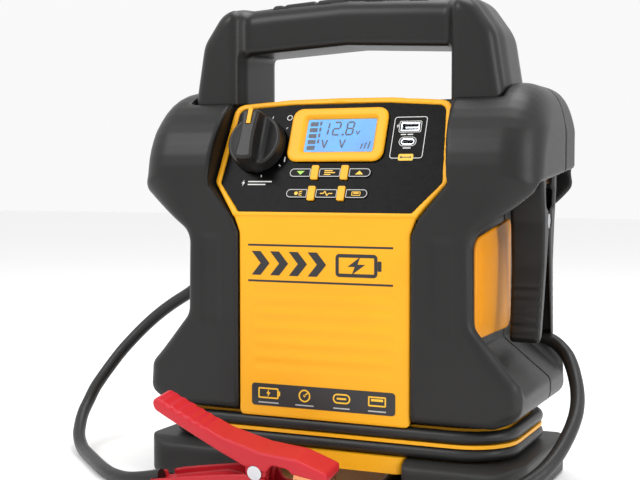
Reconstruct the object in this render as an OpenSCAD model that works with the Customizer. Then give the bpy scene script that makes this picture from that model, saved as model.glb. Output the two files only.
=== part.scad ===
// Portable jump starter pack with air compressor: case, control fascia, carry handle,
// battery clamps on their leads, air hose round the base, battery and compressor inside.
// Millimetres. X to the right seen from the front, Y to the back, Z up. The front faces -Y.

/* [Case] */
// Half width over the shoulders
case_x = 160; // [158:1:164]
// Front face of the case, as a distance in front of the centre
case_front = 73; // [72:1:75]
// Back face of the case, as a distance behind the centre
case_back = 75; // [74:1:76]
// Thickness of the moulded walls
wall = 3; // [2.5:0.5:3.5]
/* [Control panel] */
// Lean of the control panel from the vertical, in degrees
lean = 23; // [20:1:25]
// Radius of the rotary knob
knob_r = 21; // [18:1:22]
// Travel of the push buttons
button_travel = 1; // [0.6:0.2:1.2]
/* [Handle] */
// Half width of the hand opening
grip_gap = 84.5; // [82:0.5:86]
// Top of the handle
handle_top = 369; // [366:1:374]
/* [Clamps and leads] */
// Width of a battery clamp
clamp_w = 26; // [24:1:28]
// Lean of each clamp arm from the clamp's centreline, in degrees
arm_lean = 22; // [20:1:24]
// Diameter of the battery leads
lead_d = 10.5; // [9:0.5:11]
// Diameter of the air hose
hose_d = 9.5; // [8:0.5:9.5]

/* [Hidden] */

black = [0.2, 0.2, 0.2];
yellow = [0.98, 0.76, 0.12];
gloss = [0.03, 0.03, 0.035];
copper = [0.72, 0.45, 0.2];
steel = [0.72, 0.73, 0.75];
red = [0.8, 0.12, 0.16];
eps = 0.02;
far = 400;

// ---- outlines with rounded corners -------------------------------------------------------

function unit(v) = v / norm(v);

// Points of a round corner of radius r at p, between the corners before and after it.
function corner(before, p, after, r, steps) =
    let (a = unit(before - p), b = unit(after - p), half = acos(max(-1, min(1, a * b))) / 2)
    (r <= 0 || half > 89) ? [p] :
    let (start = p + a * r / tan(half), end = p + b * r / tan(half),
         centre = p + unit(a + b) * r / sin(half),
         from = atan2(start.y - centre.y, start.x - centre.x),
         raw = atan2(end.y - centre.y, end.x - centre.x) - from,
         turn = raw > 180 ? raw - 360 : raw < -180 ? raw + 360 : raw)
    [for (i = [0:steps]) centre + r * [cos(from + turn * i / steps), sin(from + turn * i / steps)]];

// A closed outline from corners given as [x, y, radius].
function rounded(c, steps = 6) =
    let (n = len(c), p = [for (k = c) [k.x, k.y]])
    [for (i = [0:n - 1]) each corner(p[(i + n - 1) % n], p[i], p[(i + 1) % n], c[i].z, steps)];

// Both halves of an outline from the corners of its +X half, listed from bottom to top.
function mirrored(c) = concat(c, [for (i = [len(c) - 1:-1:0]) [-c[i].x, c[i].y, c[i].z]]);

module plate_y(outline, front, back) {
    translate([0, back, 0]) rotate([90, 0, 0]) linear_extrude(back - front) polygon(outline);
}
module round_rect(x, y, r) {
    polygon(rounded([[x, y, r], [-x, y, r], [-x, -y, r], [x, -y, r]], 8));
}
module slab(x, y, r, low, high) {
    translate([0, 0, low]) linear_extrude(high - low) round_rect(x, y, r);
}

// ---- case --------------------------------------------------------------------------------

case_low = 53;       // underside of the case, above the hose channel
deck = 290;          // top of the case between the handle posts
shoulder_top = 302;
waist_x = 116;
waist_low = 128;
waist_high = 189;

// Front outline of the case, drawn t inside the outer surface.
function case_outline(t) = rounded(mirrored([
    [131 - t, case_low + t, 6], [149 - t, 66 + t / 2, 10], [149 - t, 89 - t / 2, 12],
    [waist_x - t, waist_low - t / 2, 12], [waist_x - t, waist_high + t / 2, 12],
    [case_x - t, 223 + t / 2, 12], [case_x - t, 266 - t / 2, 30], [152 - t, shoulder_top - t, 14],
    [128 + t, shoulder_top - t, 0], [128 + t, deck - t, 0]]), 5);
// Side outline, as [y, z].
function side_outline(t) = rounded([
    [-case_front + t, case_low + t, 5], [case_back - t, case_low + t, 5],
    [case_back - t, shoulder_top - t, 32], [-case_front + t, shoulder_top - t, 68]], 8);

// The part of the case between two Y planes, drawn t inside its outer surface.
module case_solid(t, from, to) {
    middle = (case_back - case_front) / 2;
    half = (case_back + case_front) / 2 - t;
    intersection() {
        translate([0, to, 0]) rotate([90, 0, 0]) linear_extrude(to - from) polygon(case_outline(t));
        rotate([90, 0, 90]) translate([0, 0, -170]) linear_extrude(340) polygon(side_outline(t));
        translate([0, middle, 40]) linear_extrude(270) polygon(rounded([
            [case_x - t, half, 34], [t - case_x, half, 34], [t - case_x, -half, 34], [case_x - t, -half, 34]], 5));
    }
}

// The front window that holds the fascia, open at the top.
window = [[69.5, 51.2, 4], [69.5, 191, 6], [75, 203, 0], [96, 228, 4], [90.5, 292, 0], [90.5, 320, 0]];
function grown(c, g) = [for (k = c) [k.x + g, k.y - (k.y < 60 ? g : 0), k.z]];

// Bay in each side for a stored clamp: a ledge below, the waist wall, and a pocket for the
// jaws under the shoulder. g grows the hollow.
bay_x = 113;
bay_y = [-62, 62];
pocket_x = [119, 155];
pocket_y = [-50, 58];
pocket_top = 262;
module pockets(g) {
    for (s = [0, 1]) {
        mirror([s, 0, 0]) {
            plate_y([[bay_x - g, 110 - g], [175, 58 - g], [175, 230 + g], [pocket_x[0] - g, 230 + g],
                [pocket_x[0] - g, 207 + g], [bay_x - g, 207 + g]], bay_y[0] - g, bay_y[1] + g);
            translate([(pocket_x[0] + pocket_x[1]) / 2, (pocket_y[0] + pocket_y[1]) / 2, 220])
                linear_extrude(pocket_top - 220 + g) round_rect((pocket_x[1] - pocket_x[0]) / 2 + g,
                    (pocket_y[1] - pocket_y[0]) / 2 + g, 6);
        }
    }
}

// Opening in the waist wall of each bay, filled by the yellow side panel.
module side_openings(g) {
    for (s = [0, 1]) {
        mirror([s, 0, 0]) rotate([90, 0, 90]) translate([0, 0, 105])
            linear_extrude(12) polygon(rounded([[-59 + g, 116 + g, 10], [36 - g, 116 + g, 10],
                [36 - g, 202 - g, 6], [-59 + g, 189 - g, 12]]));
    }
}

// Recessed pads on the front of each black side, drawn as shallow cuts.
module front_recesses() {
    for (s = [-1, 1]) {
        translate([s * 93, -case_front + 0.8, 155]) rotate([90, 0, 0]) linear_extrude(5) round_rect(7.5, 33, 3);
    }
}

split_y = 20;        // the front and rear shells meet on this plane
inlet = [-88, 96];   // x and z of the charging inlet on the back
light = [0, 250];    // x and z of the work light on the back
red_gland_at = [-113, 50, 150];
cover = [62, 62, 150]; // half width, half height and height above the floor of the rear cover

// Outer skin between two Y planes, hollowed, with the cuts shared by both shells.
module case_shell(from, to, open_front, open_back) {
    difference() {
        case_solid(0, from, to);
        difference() {
            case_solid(wall, from - open_front, to + open_back);
            pockets(wall);
            if (open_back > 0) window_frame();
            if (open_front > 0) rear_bosses();
        }
        pockets(0);
        side_openings(0);
        handle_seat();
        clamp_tab_seats();
    }
}

// Wall round the front window: shallow beside the battery, and deeper behind the leaning panel.
module window_frame() {
    plate_y(rounded(mirrored(grown(window, wall))), -90, -52);
    intersection() {
        plate_y(rounded(mirrored(grown(window, wall))), -90, -28);
        translate([-200, -90, 222]) cube([400, 90, 120]);
    }
}
module rear_bosses() {
    for (x = [-54, 54], z = [104, 196]) {
        translate([x, case_back - 14, z]) rotate([-90, 0, 0]) cylinder(r = 6, h = 20, $fn = 32);
    }
}
module rear_openings() {
    translate([0, case_back - 2, cover[2]]) rotate([-90, 0, 0]) linear_extrude(10) round_rect(cover[0], cover[1], 8);
    translate([0, case_back - 20, cover[2]]) rotate([-90, 0, 0]) linear_extrude(30) round_rect(40, 44, 6);
    for (x = [-54, 54], z = [104, 196]) {
        translate([x, case_back - 12, z]) rotate([-90, 0, 0]) cylinder(r = 2, h = 20, $fn = 24);
    }
    translate([inlet.x, case_back - 20, inlet.y]) rotate([-90, 0, 0]) linear_extrude(30) round_rect(15, 12, 3);
    translate([inlet.x, case_back - 1.8, inlet.y]) rotate([-90, 0, 0]) linear_extrude(30) round_rect(19.5, 16.5, 4);
    translate([light.x, case_back - 20, light.y]) rotate([-90, 0, 0]) linear_extrude(30) round_rect(38, 12, 6);
}

module front_shell() {
    color(black) difference() {
        case_shell(-90, split_y, 0, 1);
        plate_y(rounded(mirrored(window)), -90, -27);
        front_recesses();
    }
}
module rear_shell() {
    color(black) difference() {
        case_shell(split_y, 90, 1, 0);
        rear_openings();
        translate(red_gland_at) rotate([0, 90, 0]) cylinder(r = 7.1, h = 20, center = true, $fn = 48);
    }
}

// ---- control fascia ----------------------------------------------------------------------

panel_foot = [0, -70, 203]; // where the leaning panel starts, at the top of the upright plate
// Draws in the plane of the panel: x to the right, y up the slope, z out of it.
module on_panel(x = 0, y = 0, z = 0) {
    translate(panel_foot) rotate([90 - lean, 0, 0]) translate([x, y, z]) children();
}
function slope(z) = (z - panel_foot.z) / cos(lean);

rim = rounded(mirrored([[73.5, 0, 0], [94, slope(228), 5], [89, slope(288), 9], [42, slope(291.4), 0]]));
plate = rounded(mirrored([[69.6, 3, 0], [89.6, slope(227.5), 4], [84.6, slope(284.6), 6], [40, slope(287.6), 0]]));
glass = rounded(mirrored([[69.3, 3.3, 0], [89.3, slope(227.5), 4], [84.3, slope(284.4), 6], [40, slope(287.3), 0]]));
rim_h = 2.6;
plate_t = 3;
glass_t = 1.6;

knob_at = [-61.5, slope(255.5)];
lcd_at = [2.5, slope(263.2)];
lcd_half = [39, 21.8];
screen_half = [30, 15];
row_x = 1;
rows = [slope(235), slope(219.6)];
row_half = 33;
divider_x = 12;
divider_half = 2.8;
usb_a_at = [59, slope(269)];
usb_c_at = [58.5, slope(258)];

module button_holes(g) {
    for (y = rows, i = [-1, 0, 1]) {
        translate([row_x, y]) button_shape(i, g);
    }
}
// Outline of one key in a row: -1 left, 0 middle, 1 right; g grows it.
module button_shape(i, g) {
    inner = divider_x + divider_half + 0.4 - g;
    if (i == 0) {
        square([2 * (divider_x - divider_half - 0.4 + g), 2 * (3.7 + g)], center = true);
    } else {
        mirror([i < 0 ? 1 : 0, 0]) union() {
            translate([inner, -3.7 - g]) square([row_half - 3.7 - inner, 2 * (3.7 + g)]);
            translate([row_half - 3.7, 0]) circle(r = 3.7 + g, $fn = 32);
        }
    }
}
module panel_holes(g) {
    button_holes(0.3 + g);
    translate(knob_at) circle(r = 5 + g, $fn = 48);
    translate(lcd_at) square(2 * [screen_half.x + 1 + g, screen_half.y + 1 + g], center = true);
    translate(usb_a_at) square([14.6 + 2 * g, 7.2 + 2 * g], center = true);
    translate(usb_c_at) round_rect(5.3 + g, 2.5 + g, 2.4);
}

// Louvres across the upright plate.
louvre_z = [for (i = [0:5]) 92 + 11 * i];

module fascia() {
    color(yellow) difference() {
        union() {
            plate_y(rounded(mirrored([[68.8, 51.6, 4], [68.8, 191, 6], [73.4, 203.2, 0]])), -70.8, -67.8);
            on_panel(0, 0, -plate_t) linear_extrude(plate_t + rim_h) polygon(rim);
            for (s = [-1, 1]) {
                translate([s * 63, -67.8, 60]) translate([-1.5, -eps, 0]) cube([3, 7, 130]);
            }
        }
        on_panel() linear_extrude(20) polygon(plate);
        on_panel(0, 0, -20) linear_extrude(40) panel_holes(0.2);
        for (z = louvre_z) {
            translate([0, -70.8, z]) rotate([0, 90, 0]) scale([1, 1, 1]) cylinder(r = 1.2, h = 104, center = true, $fn = 24);
        }
    }
}
module control_panel() {
    color(gloss) difference() {
        on_panel() linear_extrude(glass_t) polygon(glass);
        on_panel(0, 0, -20) linear_extrude(40) panel_holes(0);
    }
}
module lcd_bezel() {
    color(yellow) on_panel(lcd_at.x, lcd_at.y, glass_t) linear_extrude(2.2) difference() {
        round_rect(lcd_half.x, lcd_half.y, 7);
        square(2 * screen_half, center = true);
    }
}
module lcd_window() {
    color([0.1, 0.55, 0.85]) on_panel(lcd_at.x, lcd_at.y, glass_t - 2.4) linear_extrude(2.4)
        square(2 * screen_half + [1.6, 1.6], center = true);
}
module lcd_module() {
    color(steel) on_panel(lcd_at.x, lcd_at.y, -plate_t - 6) linear_extrude(5.8) square([70, 36], center = true);
}
module button_dividers() {
    color(yellow) for (y = rows, s = [-1, 1]) {
        on_panel(row_x + s * divider_x, y, glass_t) linear_extrude(1.9) round_rect(divider_half, 5.6, 1);
    }
}
// A key: its cap stands proud of the panel, and a stem reaches the front board.
module button(i, row) {
    color(gloss) on_panel(row_x, rows[row], 0) {
        translate([0, 0, -0.6]) linear_extrude(3.1) button_shape(i, 0);
        translate([i * 24.5, 0, -7.4]) cylinder(r = 1.6, h = 7, $fn = 24);
    }
}
module knob_shaft() {
    color(steel) on_panel(knob_at.x, knob_at.y, -12) cylinder(r = 4, h = 22, $fn = 48);
}
module knob() {
    color(black) difference() {
        union() {
            on_panel(knob_at.x, knob_at.y, glass_t + 0.3) {
                cylinder(r = knob_r + 2, h = 4, $fn = 64);
                cylinder(r = knob_r - 1.5, h = 10, $fn = 64);
                intersection() {
                    cylinder(r = knob_r, h = 25, $fn = 64);
                    translate([-6.5, -knob_r, 0]) cube([13, 2 * knob_r, 25]);
                }
            }
        }
        on_panel(knob_at.x, knob_at.y, -12) cylinder(r = 4, h = 22, $fn = 48);
        on_panel(knob_at.x, knob_at.y, 0) translate([-1.7, 8, glass_t + 24.3]) cube([3.4, 20, 3]);
    }
}
module knob_pointer() {
    color(yellow) on_panel(knob_at.x, knob_at.y, glass_t + 24.3) translate([-1.6, 8.1, 0]) cube([3.2, 12, 1.4]);
}
module rotary_switch() {
    color([0.85, 0.84, 0.8]) difference() {
        on_panel(knob_at.x, knob_at.y, -plate_t - 24) linear_extrude(23.8) round_rect(17, 17, 3);
        on_panel(knob_at.x, knob_at.y, -12.1) cylinder(r = 4.1, h = 22, $fn = 48);
    }
}
module usb_a_port() {
    color(steel) on_panel(usb_a_at.x, usb_a_at.y, -12) {
        linear_extrude(glass_t + 12) difference() {
            square([14.2, 6.8], center = true);
            square([12.8, 5.4], center = true);
        }
        linear_extrude(1) square([13, 5.6], center = true);
        translate([0, 1.2, 1]) linear_extrude(9) square([11, 1.4], center = true);
    }
}
module usb_c_port() {
    color(steel) on_panel(usb_c_at.x, usb_c_at.y, -12) {
        linear_extrude(glass_t + 12) difference() {
            round_rect(5.1, 2.3, 2.2);
            round_rect(4.5, 1.7, 1.6);
        }
        linear_extrude(1) round_rect(4.6, 1.8, 1.7);
        translate([0, 0, 1]) linear_extrude(8) square([6.6, 0.8], center = true);
    }
}
module front_board() {
    color([0.1, 0.4, 0.2]) difference() {
        on_panel(18, 38, -plate_t - 9) linear_extrude(1.6) square([116, 62], center = true);
        on_panel(knob_at.x, knob_at.y, -30) cylinder(r = 26, h = 30, $fn = 48);
        for (x = [usb_a_at.x - 8, usb_a_at.x + 8 - 16]) {
            on_panel(x, usb_c_at.y - 5, -30) cube([18, 26, 30]);
        }
    }
}

// ---- handle ------------------------------------------------------------------------------

post_y = [-40, 34];
bar_y = [-28, 24];
bar_low = 333;
// Outer front outline of the handle, from its foot up and over.
handle_corners = [[126.5, 288.5, 0], [120.5, 330, 30], [104, 360, 16], [60, handle_top - 3, 60], [0, handle_top, 0]];

module handle_seat() {
    for (s = [-1, 1]) {
        translate([s * 105.8, (post_y[0] + post_y[1]) / 2, 0])
            translate([-21.65, -(post_y[1] - post_y[0]) / 2 - 0.15, deck - 1.5])
                cube([43.3, post_y[1] - post_y[0] + 0.3, 60]);
    }
}
module carry_handle() {
    outline = rounded(mirrored(handle_corners));
    color(black) difference() {
        union() {
            intersection() {
                plate_y(outline, post_y[0], post_y[1]);
                union() {
                    for (s = [-1, 1]) {
                        translate([s * 120, 0, 300]) cube([2 * (120 - grip_gap), 200, 200], center = true);
                    }
                }
            }
            intersection() {
                plate_y(outline, bar_y[0], bar_y[1]);
                translate([-100, -100, bar_low - 3]) cube([200, 200, 100]);
            }
        }
        plate_y([[-grip_gap, 280], [grip_gap, 280], [grip_gap, bar_low - 3], [0, bar_low], [-grip_gap, bar_low - 3]],
            -far, far);
        translate([0, 0, -0.15]) grip_pad_solid(0.15);
    }
}
// Soft pad let into the top of the bar.
module grip_pad_solid(g) {
    intersection() {
        plate_y(rounded(mirrored([[66 + g, handle_top - 8.5 - g, 0], [66 + g, handle_top + 1.6, 3], [0, handle_top + 2.4, 0]])),
            -20 - g, 16 + g);
        translate([-100, -100, handle_top - 8.5 - g]) cube([200, 200, 30]);
    }
}
module grip_pad() {
    color([0.12, 0.12, 0.12]) difference() {
        grip_pad_solid(0);
        for (x = [-42, -14, 14, 42]) {
            translate([x, -2, handle_top + 4.6]) rotate([90, 0, 0]) cylinder(r = 5, h = 60, center = true, $fn = 32);
        }
    }
}

// ---- base --------------------------------------------------------------------------------

base_top = 53;
foot_top = 30;
core_half = [131, 61];
rib_z = [40.15, 42.65];
foot_half = [152, 79];
foot_inner = 64;

module base_tray() {
    color(yellow) difference() {
        union() {
            slab(core_half.x, core_half.y, 30, foot_top, base_top);
            difference() {
                slab(core_half.x + 8.5, core_half.y + 8.5, 38, rib_z[0], rib_z[1]);
                translate([-118, core_half.y, 36]) cube([84, 20, 10]);
            }
            intersection() {
                translate([0, 0, 18]) linear_extrude(12 + eps) round_rect(foot_inner - 0.2, 72, 6);
                translate([-far, -far, 0]) cube([2 * far, 2 * far, foot_top + eps]);
            }
            translate([33, 20, 4]) cube([24, 52, 14 + eps]);
        }
        slab(core_half.x - 4, core_half.y - 4, 26, foot_top + 3, base_top + 1);
        translate([45, 12, 12]) rotate([-90, 0, 0]) cylinder(r = 6.1, h = 26, $fn = 48);
        translate([30, core_half.y - 6, 35.25]) rotate([-90, 0, 0]) cylinder(r = 5.1, h = 14, $fn = 48);
    }
}
module foot(s) {
    color(black) difference() {
        intersection() {
            slab(foot_half.x, foot_half.y, 26, 1.5, foot_top);
            translate([s > 0 ? foot_inner : -foot_half.x - 10, -100, 0])
                cube([foot_half.x - foot_inner + 10, 200, foot_top]);
            rotate([90, 0, 90]) translate([0, 0, -200]) linear_extrude(400)
                polygon([[-79, 0], [-79, 23], [-67, 30], [67, 30], [79, 23], [79, 0]]);
        }
        for (y = [-52, 52]) {
            translate([s * 122, y, 1]) cylinder(r = 13.1, h = 2, $fn = 48);
        }
    }
}
module foot_pads() {
    color([0.08, 0.08, 0.08]) for (x = [-122, 122], y = [-52, 52]) {
        translate([x, y, 0]) cylinder(r = 13, h = 3, $fn = 48);
    }
}

// ---- sides -------------------------------------------------------------------------------

module side_panel(s) {
    color(yellow) intersection() {
        side_openings(0.3);
        translate([s > 0 ? bay_x - 4 : -bay_x, -100, 0]) cube([4, 200, 400]);
    }
}
clamp_x = 138;        // middle of a stored clamp
clamp_y = 8;
tab_t = 10.6;         // thickness of the tab that the jaws grip
module clamp_tab_seats() {
    for (s = [-1, 1]) {
        translate([s * clamp_x, clamp_y, pocket_top + 4]) cube([12.3, tab_t + 0.3, 12], center = true);
    }
}
module clamp_tab(s) {
    color(steel) translate([s * clamp_x, clamp_y, pocket_top + 9 - 18.75]) cube([12, tab_t, 37.5], center = true);
}
module clamp_tabs() {
    clamp_tab(-1);
    clamp_tab(1);
}

// ---- back --------------------------------------------------------------------------------

module rear_cover() {
    color(yellow) difference() {
        union() {
            translate([0, case_back - 1.8, cover[2]]) rotate([-90, 0, 0])
                linear_extrude(4) round_rect(cover[0] - 0.3, cover[1] - 0.3, 8);
            translate([0, case_back - 4, cover[2]]) rotate([-90, 0, 0]) linear_extrude(3) difference() {
                round_rect(39.6, 43.6, 6);
                round_rect(37, 41, 5);
            }
        }
        for (i = [-3:3]) {
            translate([0, case_back, cover[2] + 10 * i]) cube([64, 20, 4], center = true);
        }
        for (x = [-54, 54], z = [104, 196]) {
            translate([x, case_back - 12, z]) rotate([-90, 0, 0]) cylinder(r = 2.2, h = 20, $fn = 24);
            translate([x, case_back + 0.6, z]) rotate([-90, 0, 0]) cylinder(r = 4.2, h = 20, $fn = 32);
        }
    }
}
module rear_screws() {
    color(steel) for (x = [-54, 54], z = [104, 196]) {
        difference() {
            translate([x, case_back - 9, z]) rotate([-90, 0, 0]) {
                cylinder(r = 1.9, h = 9.7, $fn = 24);
                translate([0, 0, 9.7]) cylinder(r = 3.9, h = 1.9, $fn = 32);
            }
            translate([x, case_back + 2.6, z]) cube([5, 2, 1], center = true);
            translate([x, case_back + 2.6, z]) cube([1, 2, 5], center = true);
        }
    }
}
module charge_inlet() {
    color([0.1, 0.1, 0.1]) translate([inlet.x, case_back - 20, inlet.y]) rotate([-90, 0, 0]) difference() {
        linear_extrude(18) round_rect(14.8, 11.8, 3);
        translate([0, 0, 3]) linear_extrude(20) round_rect(12.6, 9.6, 2);
    }
    color(steel) for (x = [-4, 4]) {
        translate([inlet.x + x, case_back - 17, inlet.y]) rotate([-90, 0, 0]) cylinder(r = 1.3, h = 11, $fn = 24);
    }
}
hinge_z = inlet.y + 14.6;
module charge_cover() {
    color(black) translate([inlet.x, case_back - 1.5, inlet.y - 0.6]) rotate([-90, 0, 0]) {
        linear_extrude(1.8) round_rect(19, 14.6, 3.5);
        translate([0, 14.2, 0.2]) linear_extrude(3) round_rect(5, 1.2, 1);
    }
    color(black) translate([inlet.x, case_back + 0.4, hinge_z]) rotate([0, 90, 0])
        cylinder(r = 1.3, h = 30, center = true, $fn = 24);
}
module work_light_lens() {
    color([0.9, 0.92, 0.95]) translate([light.x, case_back - 3, light.y]) rotate([-90, 0, 0])
        linear_extrude(3.6) round_rect(37.8, 11.8, 6);
}
module work_light_board() {
    color([0.95, 0.95, 0.9]) translate([light.x, case_back - 12, light.y]) rotate([-90, 0, 0]) {
        linear_extrude(1.6) round_rect(36, 10, 4);
        for (i = [-3:3]) {
            translate([i * 9.5, 0, 1.6]) linear_extrude(1.2) square([5, 5], center = true);
        }
    }
}

// ---- inside ------------------------------------------------------------------------------

cell = [181, 77, 160];
cell_at = [0, -12, 60];
module battery() {
    color([0.25, 0.25, 0.28]) {
        translate([0, cell_at.y, cell_at.z]) linear_extrude(cell.z - 10) round_rect(cell.x / 2, cell.y / 2, 4);
        translate([0, cell_at.y, cell_at.z + cell.z - 10]) linear_extrude(10)
            round_rect(cell.x / 2 - 3, cell.y / 2 - 3, 4);
    }
}
// Terminal studs, with a copper bar from each to the main board.
module battery_terminals() {
    color(copper) for (s = [-1, 1]) {
        translate([s * 76, cell_at.y, cell_at.z + cell.z]) cylinder(r = 6, h = 4 + eps, $fn = 32);
        translate([s * 76 - 5, cell_at.y - 8, cell_at.z + cell.z + 4]) cube([10, 56, 2]);
        translate([s * 76 - 5, cell_at.y + 46, 150]) cube([10, 2, cell_at.z + cell.z + 4 - 150 + eps]);
    }
}
module main_board() {
    color([0.1, 0.4, 0.2]) translate([-62, 29, 66]) cube([124, 1.6, 120]);
}
pump_at = [8, 52, 152];
module compressor_motor() {
    color(steel) difference() {
        translate([-52, pump_at.y, pump_at.z]) rotate([0, 90, 0]) cylinder(r = 17, h = 44, $fn = 64);
        translate([-40, pump_at.y, pump_at.z]) rotate([0, 90, 0]) cylinder(r = 2.1, h = 44, $fn = 32);
    }
}
gear_teeth = 36;
pinion_teeth = 12;
tooth_module = 0.8;
gear_z = pump_at.z - (gear_teeth + pinion_teeth) * tooth_module / 2;
// A spur gear: teeth as a wave round the pitch circle, turned by start degrees.
module spur(teeth, start, h) {
    pitch = teeth * tooth_module / 2;
    steps = teeth * 4;
    depth = 0.62;
    linear_extrude(h) polygon([for (i = [0:steps - 1])
        let (a = 360 * i / steps + start, k = i % 4)
        (pitch + (k < 2 ? depth : -depth - 0.15)) * [cos(a), sin(a)]]);
}
module motor_pinion() {
    color([0.8, 0.65, 0.3]) {
        translate([-40, pump_at.y, pump_at.z]) rotate([0, 90, 0]) cylinder(r = 2.05, h = 40, $fn = 32);
        translate([-7, pump_at.y, pump_at.z]) rotate([0, 90, 0]) spur(pinion_teeth, -3.75, 6);
    }
}
module crank_gear() {
    color([0.9, 0.9, 0.86]) difference() {
        union() {
            translate([-7, pump_at.y, gear_z]) rotate([0, 90, 0]) spur(gear_teeth, 3.75, 6);
            translate([-7, pump_at.y, gear_z]) rotate([0, 90, 0]) cylinder(r = 4, h = 9, $fn = 32);
        }
        translate([-20, pump_at.y, gear_z]) rotate([0, 90, 0]) cylinder(r = 2.05, h = 60, $fn = 32);
    }
}
module compressor_pump() {
    color([0.75, 0.76, 0.78]) {
        translate([4, pump_at.y - 16, gear_z - 20]) cube([8, 32, 56]);
        translate([-8, pump_at.y, gear_z]) rotate([0, 90, 0]) cylinder(r = 2, h = 13, $fn = 32);
        translate([12, pump_at.y, gear_z]) rotate([0, 90, 0]) cylinder(r = 13, h = 30, $fn = 48);
        for (i = [0:4]) {
            translate([16 + 5 * i, pump_at.y, gear_z]) rotate([0, 90, 0]) cylinder(r = 15.5, h = 1.6, $fn = 48);
        }
        translate([42, pump_at.y - 12, gear_z - 12]) cube([10, 24, 24]);
    }
}

// ---- air hose ----------------------------------------------------------------------------

hose_low = 35.25;
hose_high = 47.6;
hose_half = [core_half.x + hose_d / 2 + 0.15, core_half.y + hose_d / 2 + 0.15];
hose_turn = 35;
hose_start = [30, hose_half.y];
hose_end_y = -12;

function arc(cx, cy, from, to, n) =
    [for (i = [0:n]) [cx + hose_turn * cos(from + (to - from) * i / n), cy + hose_turn * sin(from + (to - from) * i / n)]];
// One pass from the middle of the back, by the right side and the front, to the left side.
function pass(z, first) =
    let (cx = hose_half.x - hose_turn, cy = hose_half.y - hose_turn)
    [for (p = concat(first, arc(cx, cy, 90, 0, 5), arc(cx, -cy, 0, -90, 5),
        [[50, -hose_half.y], [0, -hose_half.y], [-50, -hose_half.y]], arc(-cx, -cy, -90, -180, 5))) [p.x, p.y, z]];
hose_path = concat(
    pass(hose_low, [[hose_start.x + 10, hose_half.y]]),
    [for (p = arc(-hose_half.x + hose_turn, hose_half.y - hose_turn, 180, 90, 5)) [p.x, p.y, hose_low]],
    [for (i = [1:5]) [-101.4 + 13 * i, hose_half.y, hose_low + (hose_high - hose_low) * (1 - cos(36 * i)) / 2]],
    pass(hose_high, [[0, hose_half.y], [50, hose_half.y]]),
    [[-hose_half.x, hose_end_y, hose_high]]);

// A tube of diameter d swept along a path, with sides round it.
module tube(path, d, sides = 8) {
    n = len(path);
    ring = [for (i = [0:n - 1])
        let (t = unit(path[min(i + 1, n - 1)] - path[max(i - 1, 0)]),
             u = unit(cross(t, abs(t.z) > 0.95 ? [1, 0, 0] : [0, 0, 1])), v = cross(t, u))
        for (k = [0:sides - 1]) path[i] + d / 2 * (u * cos(360 * (k + 0.5) / sides) + v * sin(360 * (k + 0.5) / sides))];
    polyhedron(ring, concat(
        [[for (k = [0:sides - 1]) k]],
        [for (i = [0:n - 2], k = [0:sides - 1])
            [i * sides + k, (i + 1) * sides + k, (i + 1) * sides + (k + 1) % sides, i * sides + (k + 1) % sides]],
        [[for (k = [sides - 1:-1:0]) (n - 1) * sides + k]]), convexity = 8);
}
module air_hose() {
    color([0.13, 0.13, 0.13]) tube(hose_path, hose_d);
}
module hose_fitting() {
    color([0.8, 0.65, 0.3]) {
        translate([30, core_half.y - 6, hose_low]) rotate([-90, 0, 0]) cylinder(r = 5, h = 6, $fn = 32);
        translate([30, hose_half.y, hose_low]) cube([9, 9.3, 9.3], center = true);
        translate([34.5, hose_half.y, hose_low]) rotate([0, 90, 0]) cylinder(r = 3.2, h = 5.5, $fn = 32);
    }
}
nozzle_len = 40;
module hose_nozzle() {
    color([0.15, 0.15, 0.15]) translate([-hose_half.x, hose_end_y, hose_high]) rotate([-90, 0, 0]) difference() {
        union() {
            cylinder(r = 4.6, h = nozzle_len, $fn = 48);
            for (i = [0:3]) {
                translate([0, 0, 4 + 5 * i]) cylinder(r = 4.85, h = 2.5, $fn = 48);
            }
        }
        translate([0, 0, nozzle_len - 10]) cylinder(r = 3.9, h = 12, $fn = 48);
    }
    color([0.15, 0.15, 0.15]) translate([-hose_half.x - 7.4, hose_end_y + 30, hose_high]) difference() {
        union() {
            translate([2.4, 0, 0]) cube([4, 8, 3], center = true);
            cylinder(r = 2.6, h = 3, center = true, $fn = 32);
        }
        cylinder(r = 1.25, h = 10, center = true, $fn = 24);
    }
}
lever_at = [-hose_half.x - 7.4, hose_end_y + 30];
module nozzle_lever() {
    color(steel) {
        translate([lever_at.x, lever_at.y, hose_high]) cylinder(r = 1.2, h = 8, center = true, $fn = 24);
        for (s = [-1, 1]) {
            translate([lever_at.x, lever_at.y, hose_high + s * 2.6]) cylinder(r = 2.4, h = 1.6, center = true, $fn = 32);
            translate([lever_at.x - 1.2, lever_at.y - 8, hose_high + s * 2.6 - 0.8]) cube([2.4, 8, 1.6]);
        }
        translate([lever_at.x - 1.2, lever_at.y - 28, hose_high - 3.4]) cube([2.4, 21, 6.8]);
    }
}

// ---- battery clamps ----------------------------------------------------------------------
// A clamp is drawn round its pivot with the jaws towards +X and its arms above and below the
// XY plane. Each arm turns about Y. Both arms have the same outline.

jaw_len = 54;
arm_len = 92;
pivot_r = 3;
arm_outline = let (c = cos(arm_lean), s = sin(arm_lean)) rounded([
    [-arm_len * c - 3.5, arm_len * s + 4, 3], [-arm_len * c + 2, arm_len * s - 8.6, 3],
    [-30, 8.5, 12], [-9, 2, 6], [9, 2, 2], [13, 9, 4], [25, 9, 4], [28, 6.2, 0], [jaw_len, 6.2, 0],
    [jaw_len + 0.5, 13, 3], [30, 18, 20], [2, 16.5, 24], [-30, 20, 40]]);

module arm_solid() {
    plate_y(arm_outline, -clamp_w / 2, clamp_w / 2);
}
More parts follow.
